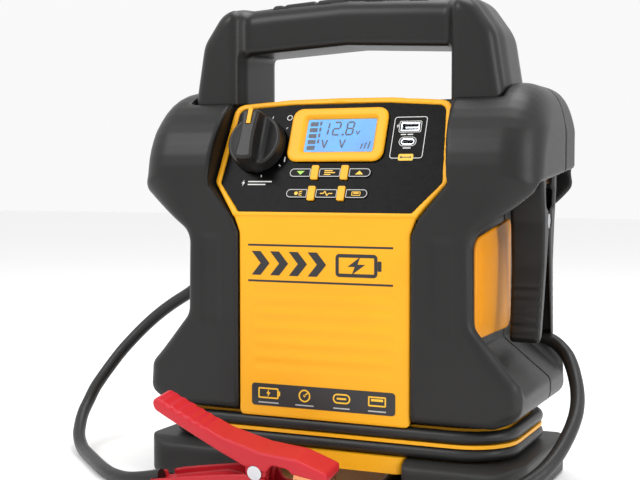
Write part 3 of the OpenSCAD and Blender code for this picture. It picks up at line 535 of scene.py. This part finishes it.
COVER_SEAT = box2(0, 150, 124, 124, 8)
VENT_HOLE = box2(0, 150, 80, 88, 6)
INLET_SEAT = box2(-88, 96, 39, 33, 4)
INLET_HOLE = box2(-88, 96, 30, 24, 3)
LIGHT_HOLE = box2(0, 250, 76, 24, 6)

case_front = carve("case_front", front_shell, (-161, -74, 52), (161, 21, 303), 2.0, M["black"], "pack")
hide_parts("front_shell")
case_rear = carve("case_rear", rear_shell, (-161, 19, 52), (161, 76, 303), 2.0, M["black"], "pack")
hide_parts("rear_shell")

# ---- handle -----------------------------------------------------------------------------------

HANDLE_OUT = rounded([
    (-60, 280, 0), (127.5, 280, 0), (126.8, 294, 0), (119.5, 338, 26), (101, 364, 20), (60, 366.5, 60),
    (0, 369, 0), (-60, 369, 0)])
HAND_HOLE = rounded([(-60, 250, 0), (84.5, 250, 0), (84.5, 329, 5), (0, 333.5, 0), (-60, 333.5, 0)])
PAD_OUT = rounded([(-30, 350, 0), (66, 360.5, 0), (66, 367.6, 3), (0, 371.2, 0), (-30, 371.2, 0)])


def handle_shape(x, y, z):
    ax = np.abs(x)
    out, hole = poly(ax, z, HANDLE_OUT), poly(ax, z, HAND_HOLE)
    posts = cut(cut(out, between(y, -39.8, 33.8), 11), 86 - ax, 9)
    bar = cut(out, between(y, -28, 24), 14)
    body = join(posts, bar, 7)
    body = cut(body, -hole, 5)
    body = np.maximum(body, 288.6 - z)
    return np.maximum(body, -(grip_shape(x, y, z, False) - 0.3))


def grip_shape(x, y, z, ridged=True):
    ax = np.abs(x)
    pad = cut(poly(ax, z, PAD_OUT), between(y, -19.5, 15.5), 3)
    pad = np.maximum(pad, 360.8 - z)
    if ridged:
        wave = np.abs((ax + 14) % 28 - 14)
        pad = pad + 1.3 * step(-wave, -2.6, -0.6) * step(z, 366, 368)
    return pad


handle = carve("handle_moulding", handle_shape, (-128, -41, 288), (128, 35, 370), 1.5, M["black_smooth"],
               "pack")
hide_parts("carry_handle")
grip = carve("grip_ribs", grip_shape, (-67, -20, 360), (67, 16, 372), 1.0, M["rubber"], "pack")
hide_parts("grip_pad")

# ---- fascia -----------------------------------------------------------------------------------

LEAN = math.radians(23)
PANEL = Matrix(((1, 0, 0, 0), (0, math.sin(LEAN), -math.cos(LEAN), -70),
                (0, math.cos(LEAN), math.sin(LEAN), 203), (0, 0, 0, 1)))


def up(z):
    """Distance up the leaning panel to height z."""
    return (z - 203) / math.cos(LEAN)


UPRIGHT = rounded([(-40, 51.8, 0), (68.6, 51.8, 4), (68.6, 191, 8), (73.2, 203.2, 0), (-40, 203.2, 0)])
RIM = rounded([
    (-40, 0, 0), (73.5, 0, 0), (94, up(228), 6), (89, up(288), 9), (42, up(291.4), 30), (0, up(291.8), 0),
    (-40, up(291.8), 0)])
PLATE = rounded([
    (-40, 3, 0), (69.6, 3, 1), (89.6, up(227.5), 4), (84.6, up(284.6), 6), (40, up(287.6), 30),
    (0, up(288), 0), (-40, up(288), 0)])


def fascia_shape(x, y, z):
    ax = np.abs(x)
    upright = cut(poly(ax, z, UPRIGHT), between(y, -70.8, -66.5), 1.1)
    wave = 0.5 - 0.5 * np.cos((z - 86.5) * 2 * math.pi / 11)
    upright = upright + 0.7 * wave * step(56 - ax, -1.5, 1.5) * step(z, 86.5, 87.5) * step(-z, -152.5, -151.5)
    t = (y + 70) * math.sin(LEAN) + (z - 203) * math.cos(LEAN)
    h = -(y + 70) * math.cos(LEAN) + (z - 203) * math.sin(LEAN)
    rim = cut(poly(ax, t, RIM), between(h, -3, 2.6), 1.0)
    inset = poly(ax, t, PLATE)
    rim = cut(rim, -np.minimum(np.maximum(inset, -h), inset + 6), 0.6)
    return join(upright, rim, 1.0)


fascia = carve("fascia_moulding", fascia_shape, (-95, -74, 51), (95, -28, 293), 1.25, M["yellow"], "pack")
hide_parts("fascia")

LCD = (2.5, up(263.2))


def bezel_shape(x, y, z):
    x, y = x - LCD[0], y - LCD[1]
    body = cut(poly(x, y, BEZEL_OUT), between(z, 1.2, 5.0), 1.8)
    lean_in = poly(x, y, BEZEL_IN) + (z - 3) * -0.7
    return cut(body, -lean_in, 0.8)


BEZEL_OUT = box2(0, 0, 78, 43.6, 8)
BEZEL_IN = box2(1.5, 0, 57.5, 28.5, 2)
bezel = carve("lcd_frame", bezel_shape, (-38, LCD[1] - 23, 1), (43, LCD[1] + 23, 5.5), 0.8,
              M["yellow"], "pack", PANEL)
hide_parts("lcd_bezel")
screen = prisms("lcd_screen", [box2(LCD[0] + 1.5, LCD[1], 60, 30.5, 2)], -0.6, 1.7, M["lcd"], "pack", PANEL)
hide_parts("lcd_window")

SEGMENTS = {"1": "bc", "2": "abged", "8": "abcdefg"}


def digit(ch, x, y, h, lean=0.08):
    """A seven-segment digit of height h with its lower left corner at x, y."""
    w, t = h * 0.52, h * 0.12
    at = {"a": ((0, h), (w, h)), "b": ((w, h), (w, h / 2)), "c": ((w, h / 2), (w, 0)), "d": ((0, 0), (w, 0)),
          "e": ((0, h / 2), (0, 0)), "f": ((0, h), (0, h / 2)), "g": ((0, h / 2), (w, h / 2))}
    out = []
    for s in SEGMENTS[ch]:
        (ax, ay), (bx, by) = at[s]
        a, b = np.array((ax, ay)), np.array((bx, by))
        gap = (b - a) / np.linalg.norm(b - a) * t * 0.35
        out.append([(px + py * lean + x, py + y) for px, py in line(a + gap, b - gap, t)])
    return out


def lcd_marks():
    x0, y0 = LCD[0] + 1.5, LCD[1]
    marks = []
    for i in range(5):
        marks.append(box2(x0 - 22.6, y0 - 10 + i * 4.9, 6.4, 3.4))
    marks += [box2(x0 - 17.2, y0 - 4.6 + i * 4.9, 1.6, 3.2) for i in range(4)]
    for ch, dx in (("1", -16.0), ("2", -6.6), ("8", 4.2)):
        marks += digit(ch, x0 + dx, y0 + 0.6, 10.2)
    marks.append(disc(x0 + 2.0, y0 + 0.7, 0.9, 10))
    marks += [line((x0 + 12.6, y0 + 3.6), (x0 + 14.0, y0 + 0.8), 0.8),
              line((x0 + 15.4, y0 + 3.6), (x0 + 14.0, y0 + 0.8), 0.8)]
    for dx in (-14.0, 0.5):
        marks += [line((x0 + dx, y0 - 3.5), (x0 + dx + 2.2, y0 - 10), 1.1),
                  line((x0 + dx + 4.4, y0 - 3.5), (x0 + dx + 2.2, y0 - 10), 1.1)]
    for i in range(3):
        marks.append(line((x0 + 18 + 3 * i, y0 - 11), (x0 + 19.2 + 3 * i, y0 - 7 + i), 0.9))
    return marks


lcd_ink = prisms("lcd_segments", lcd_marks(), 1.68, 1.8, M["ink_lcd"], "pack", PANEL)

# ---- knob -------------------------------------------------------------------------------------

KNOB = (-61.5, up(255.5))


def knob_shape(x, y, z):
    x, y = x - KNOB[0], y - KNOB[1]
    r = np.hypot(x, y)
    body = cut(r - 22.8 + 0.1 * (z - 2), between(z, 1.9, 26.8), 2.2)
    body = cut(body, scoop_out(x, y, z), 2.0)
    notch = np.maximum(between(x, -1.7, 1.7), np.maximum(8 - y, 25.6 - z))
    return np.maximum(body, -notch)


def scoop_out(x, y, z):
    """Positive where the two finger scoops beside the grip ridge take material away."""
    ridge = np.abs(x) - 6.0 - 0.004 * y * y
    floor = z - 11.5 - 0.006 * (x * x + y * y)
    return join(ridge, floor, 5)


knob = carve("knob_moulding", knob_shape, (KNOB[0] - 22, KNOB[1] - 22, 1.5),
             (KNOB[0] + 22, KNOB[1] + 22, 27), 0.7, M["black_smooth"], "knob", PANEL)
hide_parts("knob")

# ---- printed marks ----------------------------------------------------------------------------

TOP = 1.6
BOLT = [[(0.6, 3.2), (-1.7, -0.4), (-0.2, -0.4), (-0.8, -3.2), (1.7, 0.6), (0.2, 0.6)]]


def panel_marks():
    white, yellow = [], []
    white += rings(box2(58.8, up(261), 25.5, 33.5, 2.2), 0.5)
    white += rings(box2(59, up(269), 17.4, 9.2, 1.2), 0.45) + rings(box2(58.5, up(258), 13.6, 7.4, 3.6), 0.45)
    white += [line((52.5, up(263.2)), (56.5, up(263.2)), 0.8), line((57.6, up(263.2)), (62, up(263.2)), 0.8)]
    white += [line((55.5, up(253.2)), (61.5, up(253.2)), 0.8)]
    white += moved(BOLT, 49.2, up(269.6), 0.55)
    yellow += [box2(58.8, up(246.4), 11.5, 5.2, 1)]
    white += rings(disc(-40.5, up(277.5), 2.3, 20), 0.6)
    white += [line((-38.5, up(245.5) - 2), (-38.5, up(245.5) + 2), 0.9)]
    white += moved(BOLT, -70, up(227.5), 0.8) + [line((-66, up(228.6)), (-46, up(228.6)), 0.9),
                                                 line((-66, up(226.4)), (-51, up(226.4)), 0.9)]
    for k in range(5):
        a = math.radians(75 - k * 38)
        c, s = math.cos(a), math.sin(a)
        white.append(line((KNOB[0] + 24.4 * c, KNOB[1] + 24.4 * s),
                          (KNOB[0] + 26.2 * c, KNOB[1] + 26.2 * s), 0.6))
    dark = [line((58.8 - 3.4, up(246.4)), (58.8 + 3.4, up(246.4)), 0.7), disc(58.8 - 3.6, up(246.4), 0.9, 12),
            disc(58.8 + 3.6, up(246.4), 0.7, 12)]
    return white, yellow, dark


white, yellow, dark = panel_marks()
for name, shapes, mat, top in (
        ("panel_lines", white, "ink_white", 0.08), ("socket_tag", yellow, "ink_yellow", 0.1),
                               ("socket_tag_mark", dark, "ink_black", 0.16)):
    piece = prisms(name, shapes, TOP - 0.1, TOP + top, M[mat], "pack", PANEL)

ROW_X, DIV_X, DIV_HALF = 1.0, 12.0, 2.8
ROWS = (up(235), up(219.6))


def key_outline(i):
    if i == 0:
        return box2(0, 0, 17.0, 6.6, 0.8)
    inner, outer = DIV_X + DIV_HALF + 0.9, 32.6
    pts = rounded([(inner, -3.3, 0.6), (outer, -3.3, 3.2), (outer, 3.3, 3.2), (inner, 3.3, 0.6)], 5)
    return pts if i > 0 else [(-x, y) for x, y in pts][::-1]


PULSE = [(-5, 0), (-2.4, 0), (-1.2, 1.8), (0.8, -1.8), (2, 0), (5, 0)]
ICONS = {
    (-1, 0): ("ink_green", [[(-27, 1.3), (-20.6, 1.3), (-23.8, -1.7)]]),
    (0, 0): ("ink_yellow", [line((-4.4, y), (-4.4 + w, y), 0.75)
                            for y, w in ((1.5, 6.6), (0, 8.8), (-1.5, 5.2))]),
    (1, 0): ("ink_yellow", [[(20.6, -1.5), (27, -1.5), (23.8, 1.5)]]),
    (-1, 1): ("ink_yellow", [disc(-24.6, 0, 1.4, 16)]
              + [line((-22.4, y), (-19.8, y * 1.5), 0.6) for y in (-1.2, 0, 1.2)]),
    (0, 1): ("ink_yellow", [line(a, b, 0.7) for a, b in zip(PULSE, PULSE[1:])]),
    (1, 1): ("ink_yellow", rings(box2(23.8, 0, 7, 3.2, 0.4), 0.5) + [box2(23.8, 0.35, 4.2, 0.9)]),
}
KEYS = {(-1, 0): "button_down", (0, 0): "button_air", (1, 0): "button_up",
        (-1, 1): "button_light", (0, 1): "button_test", (1, 1): "button_usb"}
KEY_MARK = (2.42, 2.58)
for (i, row), body in KEYS.items():
    outline = moved(rings(key_outline(i), 0.55), ROW_X, ROWS[row])
    edge = prisms(body + "_edge", outline, *KEY_MARK, M["ink_grey"], body, PANEL)
    ink, icon = ICONS[(i, row)]
    mark = prisms(body + "_mark", moved(icon, ROW_X, ROWS[row]), *KEY_MARK, M[ink], body, PANEL)

FRONT = Matrix(((1, 0, 0, 0), (0, 0, -1, 0), (0, 1, 0, 0), (0, 0, 0, 1)))


def front_marks():
    """Plain bars, arrows and pictograms in place of the printed name and ratings."""
    dark = [box2(-2.5, 181.6, 117, 1.5), box2(-2.5, 154.6, 117, 1.5)]
    for i in range(4):
        x = -58 + 15.5 * i
        dark.append([(x, 159), (x + 7.5, 159), (x + 15, 168), (x + 7.5, 177), (x, 177), (x + 7.5, 168)])
    dark += rings(box2(27.5, 168, 33, 17, 3), 2.6) + [box2(45.6, 168, 3, 7.5, 0.8)]
    dark += [[(30.5, 174.5), (20.5, 167.2), (26.2, 167.2), (24, 161.5), (34.5, 169), (28.4, 169)]]
    label = [box2(0, 68.4, 116, 16.8, 2.6)]
    gold, pale = [], []
    gold += rings(box2(-44, 69.6, 17, 8.2, 1), 1.1) + [box2(-34.9, 69.6, 1.4, 3.6)]
    gold += moved(BOLT, -44, 69.6, 1.0)
    gold += rings(disc(-14, 69.6, 4.8, 24), 1.1)
    gold += [line((-14, 69.6), (-11.2, 72.2), 1.0), disc(-14, 69.6, 1, 12)]
    gold += rings(box2(16, 69.6, 14, 7.4, 3.6), 1.1) + [box2(16, 69.6, 7.5, 1.4)]
    gold += rings(box2(44, 69.6, 14, 7.4, 0.8), 1.1) + [box2(44, 70.6, 9.4, 1.8)]
    for x, w in ((-44, 17), (-14, 15), (16, 13), (44, 14)):
        pale.append(box2(x, 62.4, w, 0.9))
    return dark, label, gold, pale


dark, label, gold, pale = front_marks()
for name, shapes, mat, low, high in (
        ("front_graphic", dark, "ink_black", 70.7, 70.92), ("front_label", label, "ink_black", 70.7, 71.1),
        ("label_pictograms", gold, "ink_yellow", 71.0, 71.2), ("label_bars", pale, "ink_grey", 71.0, 71.2)):
    piece = prisms(name, shapes, low, high, M[mat], "pack", FRONT)

# ---- base and feet ----------------------------------------------------------------------------

FOOT_SIDE = rounded([(-79, 0.6, 4), (79, 0.6, 4), (79, 24, 6), (68, 30, 6), (-68, 30, 6), (-79, 24, 6)])


def foot_shape(x, y, z):
    plan = cut(between(x, 64, 152), between(y, -79, 79), 1)
    corner = cut(x - 152, np.abs(y) - 79, 26)
    inner = cut(64 - x, np.abs(y) - 79, 6)
    plan = np.maximum(np.maximum(plan, corner), inner)
    return cut(cut(plan, poly(y, z, FOOT_SIDE), 1.6), between(z, 0.6, 30), 2.5)


def mirrored(shape):
    """The same shape on the other side of the pack."""
    return lambda x, y, z: shape(-x, y, z)


for name, node, shape, low, high in (
        ("foot_right", "right_foot", foot_shape, (63, -80, 0), (153, 80, 31)),
        ("foot_left", "left_foot", mirrored(foot_shape), (-153, -80, 0), (-63, 80, 31))):
    foot = carve(name, shape, low, high, 1.6, M["foot"], "pack")
    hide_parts(node)

# ---- air hose ---------------------------------------------------------------------------------

HOSE_X, HOSE_Y, HOSE_R = 135.9, 65.9, 35.0
HOSE_LOW, HOSE_HIGH = 35.25, 47.6


def arc(cx, cy, start, end, z, n=14):
    return [(cx + HOSE_R * math.cos(math.radians(start + (end - start) * i / n)),
             cy + HOSE_R * math.sin(math.radians(start + (end - start) * i / n)), z) for i in range(n + 1)]


def hose_turn(z):
    cx, cy = HOSE_X - HOSE_R, HOSE_Y - HOSE_R
    return (arc(cx, cy, 90, 0, z) + arc(cx, -cy, 0, -90, z) + [(x, -HOSE_Y, z) for x in (80, 40, 0, -40, -80)]
            + arc(-cx, -cy, -90, -180, z))


hose_path = ([(x, HOSE_Y, HOSE_LOW) for x in (40, 60, 80)] + hose_turn(HOSE_LOW)
             + arc(-HOSE_X + HOSE_R, HOSE_Y - HOSE_R, 180, 90, HOSE_LOW)
             + [(-95 + 5 * i, HOSE_Y,
                 HOSE_LOW + (HOSE_HIGH - HOSE_LOW) * (1 - math.cos(math.pi * i / 12)) / 2)
                for i in range(13)]
             + [(x, HOSE_Y, HOSE_HIGH) for x in (-15, 15, 45, 75)] + hose_turn(HOSE_HIGH)
             + [(-HOSE_X, y, HOSE_HIGH) for y in (-24, -12)])
hose = tube("air_hose_jacket", hose_path, 4.7, M["jacket"], "pack")
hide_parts("air_hose")

# ---- side panels ------------------------------------------------------------------------------

SIDE_PANEL = rounded([(-58.6, 116.4, 10), (35.6, 116.4, 10), (35.6, 201.6, 6), (-58.6, 188.6, 12)])


def side_panel(x, y, z):
    dome = 1.1 * step(-poly(y, z, SIDE_PANEL), 2, 16)
    return cut(poly(y, z, SIDE_PANEL), between(x, 109.4, 114.2 + dome), 1.2)


for name, node, shape, low, high in (
        ("side_inset_right", "right_side_panel", side_panel, (109, -60, 115), (116, 37, 203)),
        ("side_inset_left", "left_side_panel", mirrored(side_panel), (-116, -60, 115), (-109, 37, 203))):
    panel = carve(name, shape, low, high, 1.2, M["yellow_deep"], "pack")
    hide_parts(node)

# ---- clamps -----------------------------------------------------------------------------------

ARM_LEAN = math.radians(22)
ARM_LENGTH = 92
ARM_END = (-ARM_LENGTH * math.cos(ARM_LEAN), ARM_LENGTH * math.sin(ARM_LEAN))
ARM = rounded([
    (ARM_END[0] - 3.5, ARM_END[1] + 4, 4), (ARM_END[0] + 2, ARM_END[1] - 8.6, 4),
    (-30, 8.9, 12), (-8, 2.6, 6), (9, 2.4, 2), (13, 9, 4), (25, 9, 4), (28, 6.2, 0), (54, 6.2, 0),
    (54.5, 13, 3), (30, 18, 20), (2, 16.5, 24), (-30, 20, 40)], 9)
HANDLE_AXIS = (-math.cos(ARM_LEAN), math.sin(ARM_LEAN))


def arm_shape(x, y, z, outer):
    """One arm round its pivot, with a hollow underside and two cheeks that the rivet goes through."""
    along = x * HANDLE_AXIS[0] + z * HANDLE_AXIS[1]
    profile = poly(x, z, ARM)
    ridges = 0.5 + 0.5 * np.cos((along - 58) * 2 * math.pi / 7.5)
    grip = 0.7 * ridges * step(along, 46, 52) * step(-along, -90, -84)
    arm = cut(profile + grip * step(z - 0.36 * -x, 2, 6), np.abs(y) - 13 + 0.02 * np.maximum(along, 0), 2.6)
    hollow = cut(poly(x, z, CHANNEL), np.abs(y) - 10.4, 1.5)
    arm = cut(arm, -hollow, 1.0)
    start = 6.9 if outer else 3.1
    plate = np.minimum(np.hypot(x, z) - 8, brick(x, 0 * y, z, (-8, -99, 0), (8, 99, 14.5), 0.1))
    cheek = np.maximum(np.abs(np.abs(y) - start - 1.75) - 1.75, plate)
    arm = np.minimum(arm, cheek)
    seat = np.maximum(np.hypot(x, z) - 5.7, 10.4 - np.abs(y))
    return np.maximum(np.maximum(arm, -seat), 3.1 - np.hypot(x, z))


CHANNEL = [(-88, 22), (-31, 3), (-31, -2), (25, -2), (25, 13.6), (-31, 15.2), (-80, 33)]


def turned(pivot, *spins):
    m = Matrix.Translation(pivot)
    for degrees, axis in spins:
        m = m @ Matrix.Rotation(math.radians(degrees), 4, axis)
    return m


RED = turned((-22, -126, 27.5), (9, "X"), (9, "Y"))
BLACK_REAR = turned((138, 8, 200), (90, "Z"), (-90, "Y"), (8.2, "Y"))
BLACK_FRONT = turned((138, 8, 200), (90, "Z"), (-90, "Y"), (-8.2, "Y"))
# The arm that rides the joint has the outer cheeks; the fixed one is its mirror image below the pivot.
for name, node, mat, body, matrix, moving, slot in (
        ("red_arm_upper", "red_clamp_upper", "red", "red_upper_arm", RED, True, "red_plastic"),
        ("red_arm_lower", "red_clamp_lower", "red", "pack", RED, False, "red_plastic"),
        ("black_arm_front", "black_clamp_front", "black_smooth", "black_front_arm", BLACK_FRONT, True,
         "black_plastic"),
        ("black_arm_rear", "black_clamp_rear", "black_smooth", "pack", BLACK_REAR, False, "black_plastic")):
    side = 1 if moving else -1
    low, high = ((-90, -14, -9), (56, 14, 41)) if moving else ((-90, -14, -41), (56, 14, 9))
    arm = carve(name, lambda x, y, z: arm_shape(x, y, side * z, moving), low, high, 1.0, M[mat], body, matrix)
    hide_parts(node)

# ---- finishes of the CAD nodes that show --------------------------------------------------------

SHOWN = {
    "gloss": "control_panel",
    "key": "button_down button_air button_up button_light button_test button_usb",
    "yellow": "button_dividers knob_pointer base_tray rear_cover",
    "black": "charge_cover",
    "steel": "knob_shaft usb_a_port usb_c_port clamp_tabs rear_screws nozzle_lever red_clamp_fittings "
             "black_clamp_fittings lcd_module compressor_motor",
    "copper": "red_jaw_lower red_jaw_upper black_jaw_rear black_jaw_front battery_terminals",
    "brass": "hose_fitting motor_pinion",
    "cast": "compressor_pump",
    "board": "front_board main_board work_light_board",
    "nylon": "charge_inlet hose_nozzle",
    "pale": "rotary_switch crank_gear",
    "cell": "battery",
    "lens": "work_light_lens",
    "rubber": "foot_pads lead_glands",
}
for key, names in SHOWN.items():
    for name in names.split():
        obj = nodes[name]
        for place in obj.material_slots:
            place.material = M[key]

# ---- studio -----------------------------------------------------------------------------------

def plain(name, colour, rough):
    mat, tree, shader = principled(name)
    shader.inputs["Base Color"].default_value = (*colour, 1)
    shader.inputs["Roughness"].default_value = rough
    return mat


def softbox(name, place, aim, size, power):
    data = bpy.data.lights.new(name, "AREA")
    data.shape, data.size, data.size_y, data.energy = "RECTANGLE", size[0], size[1], power
    obj = bpy.data.objects.new(name, data)
    obj.location = place
    obj.rotation_euler = (Vector(aim) - Vector(place)).to_track_quat("-Z", "Y").to_euler()
    scene.collection.objects.link(obj)


floor_data = bpy.data.meshes.new("floor")
floor_data.from_pydata([(-6, -6, 0), (6, -6, 0), (6, 6, 0), (-6, 6, 0)], [], [(0, 1, 2, 3)])
floor = bpy.data.objects.new("floor", floor_data)
floor_data.materials.append(plain("floor_white", (0.93, 0.93, 0.93), 0.6))
scene.collection.objects.link(floor)

softbox("key", (-0.9, -1.3, 1.5), (0, 0, 0.18), (1.0, 0.8), 14)
softbox("top", (0.1, 0.25, 1.5), (0, 0, 0.3), (1.1, 0.8), 12)
softbox("side", (1.5, -0.3, 0.7), (0, 0, 0.2), (0.6, 1.0), 8)
world = bpy.data.worlds.new("studio")
scene.world = world
world.use_nodes = True
world.node_tree.nodes["Background"].inputs["Color"].default_value = (1, 1, 1, 1)
world.node_tree.nodes["Background"].inputs["Strength"].default_value = 0.95
scene.view_settings.view_transform = "Standard"
